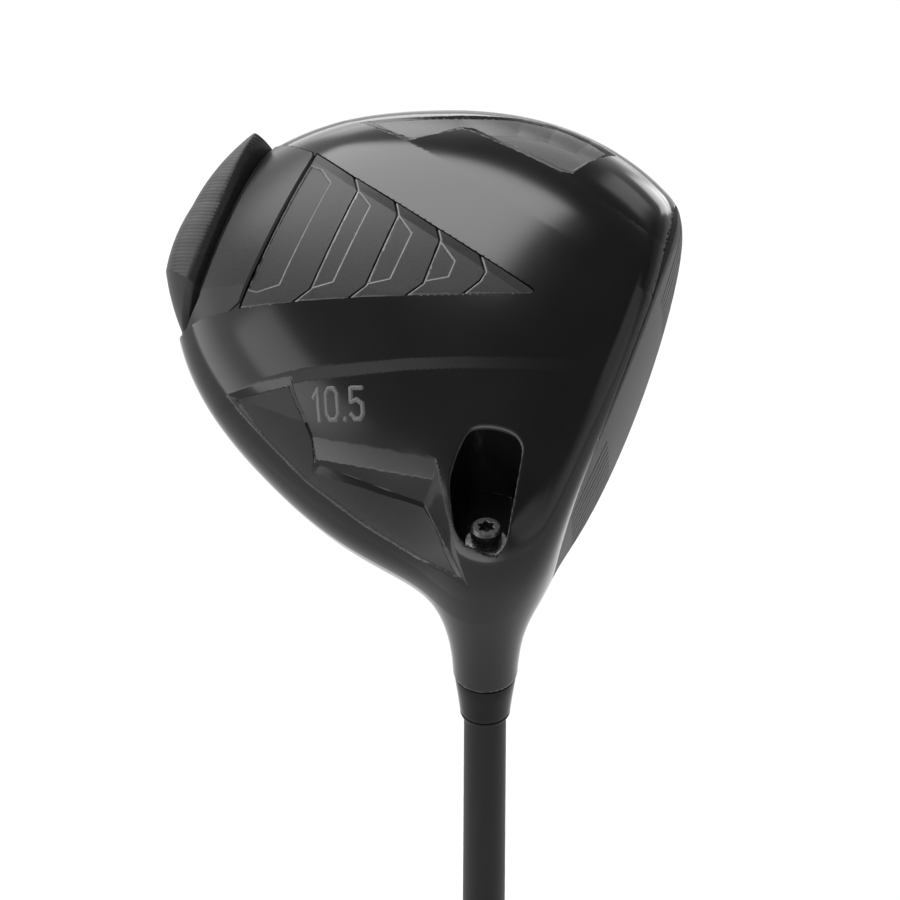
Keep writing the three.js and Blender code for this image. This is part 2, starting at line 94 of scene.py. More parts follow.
RIDGE_TOP = [(-76, 3.5), (-72.7, 6.5), (-67.9, 8.9), (-61, 13.3), (-52, 17.6), (-43, 20.9),
             (-30, 25.9), (-18, 30), (-5, 33.9), (7.8, 37.6), (14, 39.2)]
TOE_CREASE = [(14, 57.6), (-1.9, 62.5), (-18, 66.7), (-35, 71.5), (-50.8, 76.1), (-64.4, 78.7),
              (-74, 79.6)]
HEEL_EDGE = [(-72, 10), (-68.1, 7.9), (-57.4, 1.8), (-43.9, -5), (-28.7, -10.1), (-13.9, -13.8),
             (-0.2, -16.9), (6, -18.2)]
HEEL_TOP = [(-54.2, 14.5), (-61, 11.6), (-68.1, 7.9), (-71, 6)]
HEEL_WALL = [(0.3, -17.2), (-3.3, -11.8), (-6.7, -6.8), (-11.9, 0.9), (-15.5, 6.9)]
PLATE_EDGE = [(-15.5, 6.9), (-45, 4.2)]
PLATE_SIDE = [(-41.8, -5.5), (-43.1, -1.5), (-43.3, 0.4), (-45.2, 4.6), (-52.5, 12.6), (-55.3, 17)]
TOE_WALL = [(-64.4, 78.7), (-50.8, 76.1), (-41.4, 82.7), (-39.2, 83.3), (-14.5, 79), (-12, 79.6),
            (-9.8, 84.6), (-6.6, 89.2)]
TOE_OUTER = [(-6.6, 89.0), (-13.5, 91.5), (-22.1, 92.2), (-30, 91.3), (-43, 87.4), (-60.5, 80.6),
             (-66, 78.3)]
# The screw's pocket, square to the shaft's axis: (towards the target, away from the ground).
POCKET = [(-9.6, 14.6), (-5.5, 15.9), (-1, 16), (1.6, 14.4), (2.6, 11.5), (4.6, 3), (6, -3),
          (5, -5.6), (2.3, -6.6), (-1.8, -6.4), (-4.9, -4.6), (-7.4, -1.2), (-10.2, 3.6), (-11, 7.5),
          (-10.8, 12.4)]
POCKET_FLOOR, POCKET_ROUND, POCKET_REACH = 12.0, 0.7, 24
SCREW_HOLE_RADIUS, SCREW_HOLE_FROM, SCREW_HOLE_TO = 2.8, 4, 20
BORE_RADIUS, BORE_FOOT = 6.05, 15


# ---- Distances -----------------------------------------------------------------------------------
FAR = 1e9  # farther than any distance on the club


def side_of(u, v, line):
    """Signed distance to an open polyline, positive on its left."""
    best = np.full(np.shape(u), FAR)
    across = np.zeros(np.shape(u))
    for (x0, y0), (x1, y1) in zip(line, line[1:]):
        dx, dy = x1 - x0, y1 - y0
        length = math.hypot(dx, dy)
        dx, dy = dx / length, dy / length
        along = (u - x0) * dx + (v - y0) * dy
        perp = (v - y0) * dx - (u - x0) * dy
        past = along - np.clip(along, 0, length)
        near = np.hypot(past, perp)
        closer = near < best - 1e-7
        tie = ~closer & (near < best + 1e-7) & (np.abs(perp) > np.abs(across))
        across = np.where(closer | tie, perp, across)
        best = np.minimum(best, near)
    return np.where(across < 0, -best, best)


def to_segment(u, v, start, end):
    """Distance to the straight line between two points."""
    (x0, y0), (x1, y1) = start, end
    dx, dy = x1 - x0, y1 - y0
    t = np.clip(((u - x0) * dx + (v - y0) * dy) / (dx * dx + dy * dy), 0, 1)
    return np.hypot(u - x0 - t * dx, v - y0 - t * dy)


def inside_of(u, v, outline):
    """Signed distance to a closed outline, positive inside, whichever way it runs."""
    ring = outline + outline[:1]
    best = np.full(np.shape(u), FAR)
    inside = np.zeros(np.shape(u), bool)
    for start, end in zip(ring, ring[1:]):
        best = np.minimum(best, to_segment(u, v, start, end))
        (x0, y0), (x1, y1) = start, end
        if y1 != y0:
            inside ^= ((y0 > v) != (y1 > v)) & (u < x0 + (v - y0) * (x1 - x0) / (y1 - y0))
    return np.where(inside, best, -best)


def smooth_max(a, b, k):
    h = np.maximum(k - np.abs(a - b), 0) / k
    return np.maximum(a, b) + h * h * k / 4


def smooth_min3(a, b, k):
    h = np.maximum(k - np.abs(a - b), 0) / k
    return np.minimum(a, b) - h * h * h * k / 6


def ramp(x, width):
    return np.clip(x / width, 0, 1)


def rounded(outline, steps=5):
    """A closed outline through its points, rounded by a Catmull-Rom curve."""
    points = np.array(outline, float)
    curve = []
    for i in range(len(points)):
        p0, p1, p2, p3 = (points[(i + k - 1) % len(points)] for k in range(4))
        for j in range(steps):
            t = j / steps
            curve.append(tuple(0.5 * (2 * p1 + (p2 - p0) * t + (2 * p0 - 5 * p1 + 4 * p2 - p3) * t * t
                                      + (3 * p1 - p0 - 3 * p2 + p3) * t ** 3)))
    return curve


# ---- The head's smooth form ----------------------------------------------------------------------
def outline_radius(angle):
    count = len(OUTLINE)
    x = (angle / (2 * math.pi) * count) % count
    i = np.floor(x).astype(int)
    t = x - i
    p0, p1, p2, p3 = (OUTLINE[(i + k - 1) % count] for k in range(4))
    radius = ((1 - t) ** 3 * p0 + (3 * t ** 3 - 6 * t * t + 4) * p1
              + (-3 * t ** 3 + 3 * t * t + 3 * t + 1) * p2 + t ** 3 * p3) / 6
    slope = (-3 * (1 - t) ** 2 * p0 + (9 * t * t - 12 * t) * p1
             + (-9 * t * t + 6 * t + 3) * p2 + 3 * t * t * p3) / 6 * count / (2 * math.pi)
    return radius, slope


def pillow(u, v, w):
    du, dv, dw = u - CENTRE[0], v - CENTRE[1], w - CENTRE[2]
    radius, slope = outline_radius(np.arctan2(dv, du))
    rho = (np.hypot(du, dv) + 1e-9) / radius
    below = dw > 0
    height = np.where(below, SOLE_DEPTH, CROWN_HEIGHT)
    n = np.where(below, SOLE_FULLNESS, CROWN_FULLNESS)
    om = np.abs(dw) / height
    size = (rho ** n + om ** n + 1e-12) ** (1 / n)
    steep = size ** (1 - n) * np.sqrt(
        (rho ** (n - 1)) ** 2 * (1 + (slope / radius) ** 2) / radius ** 2
        + (om ** (n - 1) / height) ** 2) + 1e-9
    return (size - 1) / steep


def before_face(u, v, w):
    cu, cv, cw = FACE_CENTRE - FACE_NORMAL * FACE_RADIUS
    return np.sqrt((u - cu) ** 2 + (v - cv) ** 2 + (w - cw) ** 2) - FACE_RADIUS


def about_axis(u, v, w):
    """Depth along the shaft's axis towards the grip, and distance from it."""
    depth = v * AXIS[1] + w * AXIS[2]
    return depth, np.sqrt(np.maximum(u * u + v * v + w * w - depth * depth, 0))


def across_axis(v, w):
    """Distance from the shaft's axis in the plane of the heel and toe, away from the ground."""
    return v * -AXIS[2] + w * AXIS[1]


def smooth_head(u, v, w):
    body = smooth_max(pillow(u, v, w), before_face(u, v, w), LEADING_EDGE_ROUND)
    depth, off = about_axis(u, v, w)
    neck = -smooth_min3(HOSEL_RADIUS - off, depth - NECK_FOOT, NECK_FOOT_ROUND)
    neck = smooth_max(neck, depth - HOSEL_END, HOSEL_END_ROUND)
    return np.maximum(smooth_min3(body, neck, NECK_BLEND), depth - HOSEL_END)


# ---- Relief on the sole: depths below the smooth form --------------------------------------------
RIDGE_DROP = 0.8
RIDGE_MIDDLE, RIDGE_REACH = -32.0, 42.0
RIDGE_STEP = 2.6
TOE_FALL, TOE_FALL_WIDTH = 0.06, 12
TOE_WALL_SLOPE, TOE_OUTER_SLOPE = 1.3, 0.4
HEEL_FLOOR_SLOPE, HEEL_WALL_SLOPE = 0.3, 0.62
HEEL_TOP_DROP, HEEL_TOP_SLOPE = 0.25, 0.28
LEDGE_WIDTH, LEDGE_SLOPE, LEDGE_DROP, STEP_SLOPE = 4.2, 0.24, 1.0, 0.5
PLATE_SIDE_WIDTH = 0.3
RIM_FADE = 6.0  # the relief dies out over this height above the head's rim
TOE_DEPTH = 2.2


def heel_recess(u, v):
    """The stepped recess at the heel: a ledge and a floor beside the plate, a slope behind it."""
    from_edge = side_of(u, v, HEEL_EDGE)
    from_wall = side_of(u, v, HEEL_WALL)
    from_plate = side_of(u, v, PLATE_EDGE)
    floor = HEEL_FLOOR_SLOPE * from_edge
    slope = np.where(from_plate < LEDGE_WIDTH, LEDGE_SLOPE * from_plate,
                     LEDGE_DROP + STEP_SLOPE * (from_plate - LEDGE_WIDTH))
    wall = HEEL_WALL_SLOPE * from_wall
    beside = np.minimum(np.minimum(slope, wall), floor)
    top = HEEL_TOP_DROP + HEEL_TOP_SLOPE * side_of(u, v, HEEL_TOP)
    behind = np.minimum(floor, top)
    left = ramp(side_of(u, v, PLATE_SIDE), PLATE_SIDE_WIDTH)
    return np.maximum(behind * left + np.maximum(beside, 0) * (1 - left), 0)


def toe_recess(u, v):
    """The flat-floored recess at the toe."""
    wall = TOE_WALL_SLOPE * side_of(u, v, TOE_WALL)
    outer = TOE_OUTER_SLOPE * side_of(u, v, TOE_OUTER)
    return np.maximum(np.minimum(np.minimum(wall, outer), TOE_DEPTH), 0)


def relief(u, v):
    """Depth of the body's sole below the smooth form, apart from the pieces let into it."""
    fade = np.clip(1 - ((u - RIDGE_MIDDLE) / RIDGE_REACH) ** 2, 0, 1)
    ridge = RIDGE_DROP * fade * ramp(-side_of(u, v, RIDGE_TOP), RIDGE_STEP)
    toe = TOE_FALL * np.clip(-side_of(u, v, TOE_CREASE), 0, TOE_FALL_WIDTH)
    return ridge + toe + heel_recess(u, v) + toe_recess(u, v)


def on_sole(function, u, v, w, smooth, reach=7.0):
    """A function of (u, v) where it matters: on the sole's side and near the surface."""
    value = np.zeros(np.shape(u))
    above_rim = w - RIM_LEVEL
    near = (above_rim > 0) & (np.abs(smooth) < reach)
    value[near] = function(u[near], v[near]) * ramp(above_rim[near], RIM_FADE)
    return value


def let_in(u, v, w, smooth, outline, depth, gap=HAIRLINE, low=RIM_LEVEL):
    """Distance into the space that a piece let into the sole takes, positive outside."""
    within = np.full(np.shape(u), AWAY)
    near = (w > low - 3) & (smooth > -depth - 4)
    within[near] = -inside_of(u[near], v[near], outline) - gap
    return np.maximum(np.maximum(within, low - w), -smooth - depth)


POCKET_CURVE = rounded(POCKET)


def screw_space(u, v, w):
    """Distances into the screw's pocket, and into its hole and the sleeve's bore."""
    depth, off = about_axis(u, v, w)
    within = np.full(np.shape(u), 20.0)
    near = (off < POCKET_REACH) & (depth < POCKET_FLOOR + 4)
    across = across_axis(v, w)
    within[near] = -inside_of(u[near], across[near], POCKET_CURVE)
    pocket = np.maximum(within, depth - POCKET_FLOOR)
    hole = np.maximum(off - SCREW_HOLE_RADIUS,
                      np.maximum(depth - SCREW_HOLE_TO, SCREW_HOLE_FROM - depth))
    bore = np.maximum(off - BORE_RADIUS, BORE_FOOT - depth)
    return pocket, np.minimum(hole, bore)


# The satin floors of the recesses at the toe and the heel.
TOE_FLOOR = [(-62, 79.4), (-51, 77.4), (-42, 84.2), (-39, 84.8), (-14, 80.6), (-12.4, 81), (-11, 84.6),
             (-8.8, 88.4), (-14, 90.2), (-22, 91), (-31, 90), (-43, 86.2), (-56, 81.6)]
HEEL_FLOOR = [(-66, 8.2), (-54.4, 13.4), (-52.2, 10.8), (-45.8, 4), (-44, 0.2), (-43.4, -2.6), (-16, -3),
              (-11.6, -6.6), (-7.2, -11.4), (-3, -15.4), (-13.9, -13.2), (-28.6, -9.5), (-43.8, -4.4),
              (-57.2, 2.3)]
FLOOR_DEPTH, FLOOR_THICKNESS, FLOOR_GAP, FLOOR_REACH = 0.8, 0.65, 0.015, 9
WEIGHT_DEPTH, WEIGHT_LOW = 7.0, -22.0
INSERT_DEPTH = 3.0
CROWN_THICKNESS = 1.2
CROWN_EDGE, CROWN_FRONT, CROWN_CLEARANCE = -30.5, -4.0, 22.0
FACE_PLATE_DEPTH, FACE_CLEARANCE = 2.8, 0.3
FACE_HALF_WIDTH, FACE_HALF_HEIGHT = 47, 23


def crown_region(u, v, w):
    """Negative inside the crown's part of the surface."""
    off = about_axis(u, v, w)[1]
    return np.maximum(np.maximum(w - CROWN_EDGE, u - CROWN_FRONT), CROWN_CLEARANCE - off)


def face_region(u, v, w):
    """Negative inside the face plate's outline, an ellipse square to the face."""
    across = v - FACE_CENTRE[1] - 1
    up = -(w - FACE_CENTRE[2]) * math.cos(LOFT) - (u - FACE_CENTRE[0]) * math.sin(LOFT)
    r = np.sqrt((across / FACE_HALF_WIDTH) ** 2 + (up / FACE_HALF_HEIGHT) ** 2)
    return (r - 1) * FACE_HALF_HEIGHT


def floor_region(u, v, smooth, outline, gap):
    """Distance to a recess's floor from outside its outline, and far away from the sole's skin."""
    within = np.full(np.shape(u), AWAY)
    near = np.abs(smooth) < FLOOR_REACH
    within[near] = -inside_of(u[near], v[near], outline) - gap
    return within


def floor_piece(outline):
    def field(u, v, w):
        smooth, outer = sole_surface(u, v, w)
        region = floor_region(u, v, smooth, outline, -FLOOR_GAP)
        sheet = np.maximum(outer, -outer - FLOOR_THICKNESS)
        return np.maximum(sheet, np.maximum(region, RIM_LEVEL + 0.5 - w))
    return field


def sole_surface(u, v, w):
    smooth = smooth_head(u, v, w)
    return smooth, smooth + on_sole(relief, u, v, w, smooth)


def body_field(u, v, w):
    smooth, outer = sole_surface(u, v, w)
    pocket, bore = screw_space(u, v, w)
    field = smooth_max(outer, -pocket, POCKET_ROUND)
    field = np.maximum(field, -bore)
    field = np.maximum(field, -let_in(u, v, w, smooth, CHEVRON, INSERT_DEPTH))
    field = np.maximum(field, -let_in(u, v, w, smooth, SMOOTH_PANEL, INSERT_DEPTH))
    field = np.maximum(field, -let_in(u, v, w, smooth, WEIGHT, WEIGHT_DEPTH, low=WEIGHT_LOW))
    for outline in (TOE_FLOOR, HEEL_FLOOR):
        seat = np.maximum(floor_region(u, v, smooth, outline, FLOOR_GAP), -outer - FLOOR_DEPTH)
        field = np.maximum(field, -np.maximum(seat, RIM_LEVEL + 0.3 - w))
    crown_space = np.maximum(crown_region(u, v, w) - HAIRLINE, -smooth - CROWN_THICKNESS)
    field = np.maximum(field, -crown_space)
    face_space = np.maximum(face_region(u, v, w) - HAIRLINE,
                            -before_face(u, v, w) - FACE_PLATE_DEPTH - FACE_CLEARANCE)
    return np.maximum(field, -face_space)


def crown_field(u, v, w):
    smooth = smooth_head(u, v, w)
    return np.maximum(np.maximum(smooth, -smooth - CROWN_THICKNESS + 0.2),
                      crown_region(u, v, w) + HAIRLINE)


SCORE_PITCH, SCORE_HALF_WIDTH, SCORE_DEPTH = 3.4, 0.35, 0.25
SCORE_FROM, SCORE_TO, SCORE_HALF_HEIGHT = 17.0, 36.0, 14


def face_field(u, v, w):
    skin = smooth_head(u, v, w)
    across = np.abs(v - FACE_CENTRE[1] - 1)
    up = (w - FACE_CENTRE[2]) + 1.7
    line = np.abs((up + SCORE_PITCH / 2) % SCORE_PITCH - SCORE_PITCH / 2)
    lined = (across > SCORE_FROM) & (across < SCORE_TO) & (np.abs(up) < SCORE_HALF_HEIGHT)
    groove = np.where(lined, SCORE_DEPTH * np.clip(1 - line / SCORE_HALF_WIDTH, 0, 1), 0)
    return np.maximum(np.maximum(skin + groove, -before_face(u, v, w) - FACE_PLATE_DEPTH),
                      face_region(u, v, w) + HAIRLINE)


SCALE_TOP, SCALE_SLOPE, SCALE_GROOVE, SCALE_GAP = 0.35, 0.045, 1.4, 0.42
SCALE_CHAMFER, SCALE_BEVEL = 0.36, 0.55
SCALE_START, SCALE_LENGTH = -71.5, 13
STRIP_WIDTH, STRIP_RISE = 2.0, 0.32
WELL_DEPTH, WELL_BEVEL = 0.34, 0.52
EDGE_WIDTH, EDGE_CHAMFER = 0.34, 0.2
EDGE_LEVEL = -10  # the insert's underside is farther in than this


def chevron_depth(u, v):
    """Depth of the chevron insert's scales below the smooth sole."""
    from_top = -side_of(u, v, CHEVRON[:5])
    strip = -STRIP_RISE * np.clip(1 - from_top / STRIP_WIDTH, 0, 1)
    depth = SCALE_TOP + SCALE_SLOPE * np.clip(u - SCALE_START, 0, SCALE_LENGTH + 1)
    for step in CHEVRON_STEPS:
        ahead = side_of(u, v, step)
        scale = SCALE_TOP + SCALE_SLOPE * np.clip(ahead, 0, SCALE_LENGTH)
        scale = scale + SCALE_CHAMFER * np.clip(1 - ahead / SCALE_BEVEL, 0, 1)
        behind = np.where(ahead > -SCALE_GAP, SCALE_GROOVE, depth)
        depth = np.where(ahead > 0, scale, np.maximum(depth, behind))
    for well in CHEVRON_WELLS:
        depth = depth + WELL_DEPTH * ramp(inside_of(u, v, well), WELL_BEVEL)
    lower_edge = EDGE_CHAMFER * np.clip(1 + side_of(u, v, CHEVRON[5:]) / EDGE_WIDTH, 0, 1)
    return depth + strip + lower_edge


def on_scale_edge(u, v):
    """Where the scales' chamfers and creases lie. Faces there take a lighter finish, a painted highlight
    for the thin bright lines these edges catch.
    """
    edge = side_of(u, v, CHEVRON[5:]) > -EDGE_WIDTH
    for step in CHEVRON_STEPS:
        ahead = side_of(u, v, step)
        edge |= (ahead > 0) & (ahead < EDGE_WIDTH)
    for well in CHEVRON_WELLS:
        inward = inside_of(u, v, well)
        edge |= (inward > 0) & (inward < EDGE_WIDTH)
    return edge


def insert_field(u, v, w):
    smooth = smooth_head(u, v, w)
    top = smooth + on_sole(chevron_depth, u, v, w, smooth)
    return np.maximum(top, let_in(u, v, w, smooth, CHEVRON, INSERT_DEPTH - 0.2, gap=-HAIRLINE))


PANEL_EDGE = [(-70.2, 68.5), (-70.2, 66), (-72.6, 28.5), (-75, 25)]
PANEL_BEVEL, PANEL_FACET, PANEL_PROUD = 0.6, 0.14, 0.25


def panel_depth(u, v):
    """The panel beside the weight: flush, with a bevel along the chevrons and a corner facet."""
    from_insert = side_of(u, v, PANEL_EDGE)
    bevel = PANEL_BEVEL * np.clip(1 + from_insert / PANEL_BEVEL, 0, 1)
    facet = PANEL_FACET * np.clip(30.0 - v + 0.25 * (u + 83), 0, 9)
    return bevel + facet - PANEL_PROUD


def panel_field(u, v, w):
    smooth = smooth_head(u, v, w)
    top = smooth + on_sole(panel_depth, u, v, w, smooth)
    return np.maximum(top, let_in(u, v, w, smooth, SMOOTH_PANEL, INSERT_DEPTH - 0.2, gap=-HAIRLINE))


WEIGHT_EDGE, WEIGHT_SHOULDER = -83.9, 3.2
WEIGHT_RISE, WEIGHT_TILT, WEIGHT_TILT_FROM = 2.7, 0.12, 50
VALLEY_DEPTH, VALLEY_MIDDLE = 0.6, 0.9
FACET_FROM, FACET_SLOPE, FACET_LEAN = 30, 0.38, 0.3
RIB_PITCH, RIB_DEPTH = 0.9, 0.05


def weight_field(u, v, w):
    smooth = smooth_head(u, v, w)
    away = WEIGHT_EDGE - u
    climb = np.clip((away - VALLEY_MIDDLE) / WEIGHT_SHOULDER, 0, 1)
    tilt = WEIGHT_TILT * np.clip(v - WEIGHT_TILT_FROM, 0, 25)
    rise = (WEIGHT_RISE + tilt) * climb * (2 - climb)
    valley = VALLEY_DEPTH * np.clip(1 - np.abs(away - VALLEY_MIDDLE) / VALLEY_MIDDLE, 0, 1)
    past_facet = v - FACET_FROM - FACET_LEAN * away
    facet = FACET_SLOPE * np.clip(-past_facet, 0, 12)
    ribs = RIB_DEPTH * (1 - np.abs(2 * ((v / RIB_PITCH) % 1) - 1)) * (past_facet > 0)
    top = smooth - rise + valley + facet + ribs
    lid = let_in(u, v, w, smooth, WEIGHT, WEIGHT_DEPTH - 0.2, gap=-HAIRLINE, low=WEIGHT_LOW + 0.2)
    return np.maximum(top, lid)


# The loft number, drawn in strokes in a cell 1 wide and 1 high: (x, y) points of each stroke.
DIGITS = {
    "1": [[(0.2, 0.72), (0.62, 0.98), (0.62, 0)]],
    "0": [[(0.1, 0.18), (0.1, 0.82), (0.32, 1), (0.68, 1), (0.9, 0.82), (0.9, 0.18), (0.68, 0), (0.32, 0),
           (0.1, 0.18)]],
    ".": [[(0.5, 0), (0.5, 0.02)]],
    "5": [[(0.9, 1), (0.14, 1), (0.1, 0.55), (0.5, 0.63), (0.9, 0.48), (0.9, 0.16), (0.68, 0), (0.32, 0),
           (0.08, 0.16)]],
}
LOFT_TEXT = [("1", 0.6, 2.4), ("0", 3.6, 3.3), (".", 7.4, 1.4), ("5", 9.4, 3.3)]
LOFT_CORNER = np.array([-46.3, 6.9])
LOFT_ALONG = np.array([0.962, 0.272])
LOFT_UP = np.array([-0.41, 0.912])
LOFT_HEIGHT, LOFT_STROKE, LOFT_RISE, LOFT_ROOT = 7.0, 0.62, 0.35, 0.3
LOFT_FOOT = 0.5  # from the corner up to the figures' feet
LOFT_BEVEL, LOFT_BEVEL_SCALE = 0.1, 0.75


def loft_strokes():
    for digit, start, width in LOFT_TEXT:
        for stroke in DIGITS[digit]:
            places = [LOFT_CORNER + LOFT_ALONG * (start + x * width)
                      + LOFT_UP * (y * LOFT_HEIGHT + LOFT_FOOT) for x, y in stroke]
            yield from zip(places, places[1:])


def loft_field(u, v, w):
    smooth, outer = sole_surface(u, v, w)
    near = np.full(np.shape(u), AWAY)
    for start, end in loft_strokes():
        near = np.minimum(near, to_segment(u, v, start, end))
    bevel = (near + outer - LOFT_STROKE + LOFT_BEVEL) * LOFT_BEVEL_SCALE
    side = np.maximum(near - LOFT_STROKE, bevel)
    return np.maximum(side, np.maximum(outer - LOFT_RISE, -outer - LOFT_ROOT))


# ---- Meshing a field with its sharp edges kept ---------------------------------------------------
BLOCK = 8
SHARP = 0.975


def gradient(field, points, e):
    g = np.empty_like(points)
    for k in range(3):
        step = np.zeros(3)
        step[k] = e
        g[:, k] = field(*(points + step).T) - field(*(points - step).T)
    length = np.linalg.norm(g, axis=1, keepdims=True)
    return g / np.maximum(length, 1e-12), length[:, 0] / (2 * e)


def in_batches(function, points, size=400000):
    parts = [function(points[i:i + size]) for i in range(0, len(points), size)]
    if isinstance(parts[0], tuple):
        return tuple(np.concatenate(column) for column in zip(*parts))
    return np.concatenate(parts)


BISECTIONS = 9
NORMAL_STEP, SHADING_STEP = 0.02, 0.05


def crossings(field, low, high, step):
    """Grid edges that cross the surface: per axis, the lower corner's index and its sign."""
    counts = np.ceil((high - low) / (step * BLOCK)).astype(int)
    blocks = np.stack(np.meshgrid(*[np.arange(n) for n in counts], indexing="ij"), -1).reshape(-1, 3)
    middles = low + (blocks + 0.5) * step * BLOCK
    reach = step * BLOCK * 0.5 * math.sqrt(3) * 1.5 + 2 * step
    near = np.abs(in_batches(lambda p: field(*p.T), middles)) < reach
    blocks = blocks[near]
    local = np.stack(np.meshgrid(*[np.arange(BLOCK + 1)] * 3, indexing="ij"), -1).reshape(-1, 3)
    found = [[], [], []]
    for start in range(0, len(blocks), 500):
        corner = blocks[start:start + 500, None] * BLOCK + local[None]
        points = low + corner * step
        value = field(points[..., 0], points[..., 1], points[..., 2])
        negative = (value < 0).reshape(-1, BLOCK + 1, BLOCK + 1, BLOCK + 1)
        corner = corner.reshape(-1, BLOCK + 1, BLOCK + 1, BLOCK + 1, 3)
        for axis in range(3):
            here = [slice(None)] + [slice(0, BLOCK)] * 3
            there = list(here)
            there[axis + 1] = slice(1, BLOCK + 1)
            first = negative[tuple(here)]
            cross = first != negative[tuple(there)]
            found[axis].append((corner[tuple(here)][cross], first[cross]))
    return [(np.concatenate([f[0] for f in found[a]]), np.concatenate([f[1] for f in found[a]]))
            for a in range(3)], counts * BLOCK + 1


def contour(field, low, high, step):
    """Vertices, quads and corner normals of the field's zero surface, by dual contouring."""
    low, high = np.array(low, float), np.array(high, float)
    edges, shape = crossings(field, low, high, step)
    cells, places, normals, quads = [], [], [], []
    for axis, (index, starts_inside) in enumerate(edges):
        a = low + index * step
        b = a.copy()
        b[:, axis] += step
        inner = np.where(starts_inside[:, None], a, b)
        outer = np.where(starts_inside[:, None], b, a)
        for _ in range(BISECTIONS):
            middle = (inner + outer) / 2
            within = in_batches(lambda p: field(*p.T), middle) < 0
            inner = np.where(within[:, None], middle, inner)
            outer = np.where(within[:, None], outer, middle)
        point = (inner + outer) / 2
        normal = in_batches(lambda p: gradient(field, p, NORMAL_STEP)[0], point)
        others = [k for k in range(3) if k != axis]
        around = []
        for d0, d1 in ((0, 0), (-1, 0), (-1, -1), (0, -1)):
            cell = index.copy()
            cell[:, others[0]] += d0
            cell[:, others[1]] += d1
            around.append((cell[:, 0].astype(np.int64) * shape[1] + cell[:, 1]) * shape[2] + cell[:, 2])
        around = np.stack(around, 1)
        cells.append(around.ravel())
        places.append(np.repeat(point, 4, 0))
        normals.append(np.repeat(normal, 4, 0))
        forward = starts_inside if axis != 1 else ~starts_inside
        quads.append(np.where(forward[:, None], around, around[:, ::-1]))
    cells, places, normals = map(np.concatenate, (cells, places, normals))
    keys, vertex = np.unique(cells, return_inverse=True)
    count = np.bincount(vertex).astype(float)

    def total(values):
        return np.bincount(vertex, values)

    mean = np.stack([total(places[:, k]) / count for k in range(3)], 1)
    mean_normal = np.stack([total(normals[:, k]) / count for k in range(3)], 1)
    offset = places - mean[vertex]
    height = (offset * normals).sum(1)
    matrix = np.empty((len(keys), 3, 3))
    for i in range(3):
        for j in range(i, 3):
            matrix[:, i, j] = matrix[:, j, i] = total(normals[:, i] * normals[:, j])
    right = np.stack([total(normals[:, k] * height) for k in range(3)], 1)
    matrix += np.eye(3) * (0.04 * count)[:, None, None]
    shift = np.linalg.solve(matrix, right[..., None])[..., 0]
    cell = np.stack(np.unravel_index(keys, tuple(shape)), 1)
    corner = low + cell * step
    points = np.clip(mean + shift, corner - 0.1 * step, corner + 1.1 * step)
    sharp = np.linalg.norm(mean_normal, axis=1) < SHARP
    smooth_points = points[~sharp]
    for _ in range(2):
        direction, steepness = in_batches(lambda p: gradient(field, p, NORMAL_STEP), smooth_points)
        value = in_batches(lambda p: field(*p.T), smooth_points)
        move = np.clip(value / np.maximum(steepness, 0.3), -0.5 * step, 0.5 * step)
        smooth_points = smooth_points - direction * move[:, None]
    points[~sharp] = smooth_points
    vertex_normals = in_batches(lambda p: gradient(field, p, SHADING_STEP)[0], points)
    faces = np.searchsorted(keys, np.concatenate(quads))
    corner_normals = vertex_normals[faces]
    touched = sharp[faces].any(1)
    centre = points[faces[touched]].mean(1, keepdims=True)
    sampled = points[faces[touched]] * 0.6 + centre * 0.4
    corner_normals[touched] = in_batches(
        lambda p: gradient(field, p, SHADING_STEP)[0], sampled.reshape(-1, 3)).reshape(-1, 4, 3)
    return points, faces, corner_normals


def to_club(points):
    """(u, v, w) in millimetres to the frame's metres."""
    return (to_club_direction(points) + np.array([0, 0, CLUB_LENGTH])) * MM


def to_club_direction(d):
    return d[..., 0:1] * TARGET + d[..., 1:2] * TOE + d[..., 2:3] * SOLE


def link(name, mesh, material):
    piece = bpy.data.objects.new(name, mesh)
    bpy.context.scene.collection.objects.link(piece)
    mesh.materials.append(material)
    return piece


def field_piece(name, field, low, high, step, material, edge=None, edge_material=None):
    """A piece of the head. Faces whose middles pass edge(u, v) take the edge's finish."""
    points, faces, normals = contour(field, low, high, step * (1))
    mesh = bpy.data.meshes.new(name)
    mesh.from_pydata(to_club(points), [], faces)
    mesh.polygons.foreach_set("use_smooth", np.ones(len(faces), bool))
    mesh.normals_split_custom_set(to_club_direction(normals).reshape(-1, 3))
    print(name, len(faces), "faces")
    piece = link(name, mesh, material)
    if edge:
        mesh.materials.append(edge_material)
        middles = points[np.array(faces)].mean(1)
        lit = edge(middles[:, 0], middles[:, 1]) & (middles[:, 2] > EDGE_LEVEL)
        mesh.polygons.foreach_set("material_index", lit.astype(np.int32))
    return piece


def tidy_normals(mesh, angle=35.0):
    mesh.polygons.foreach_set("use_smooth", np.ones(len(mesh.polygons), bool))
    mesh.set_sharp_from_angle(angle=math.radians(angle))


def turned(name, profile, material, segments=96, relief_of=None):
    """A closed surface turned about the shaft's axis: profile is a ring of (radius, height)."""
    count = len(profile)
    angles = np.linspace(0, 2 * math.pi, segments, endpoint=False)
    radius = np.array([p[0] for p in profile], float)
    height = np.array([p[1] for p in profile], float)
    ring_radius = np.repeat(radius[:, None], segments, 1)
    ring_height = np.repeat(height[:, None], segments, 1)
    if relief_of:
        ring_radius = ring_radius + relief_of(ring_radius, angles[None], ring_height)
    points = np.stack([ring_radius * np.cos(angles), ring_radius * np.sin(angles), ring_height], -1)
    i = np.arange(count)[:, None]
    j = np.arange(segments)[None]
    i1, j1 = (i + 1) % count, (j + 1) % segments
    faces = np.stack([i * segments + j, i * segments + j1, i1 * segments + j1, i1 * segments + j], -1)
    mesh = bpy.data.meshes.new(name)
    mesh.from_pydata(points.reshape(-1, 3) * MM, [], faces.reshape(-1, 4))
    mesh.update()
    tidy_normals(mesh)
    return link(name, mesh, material)


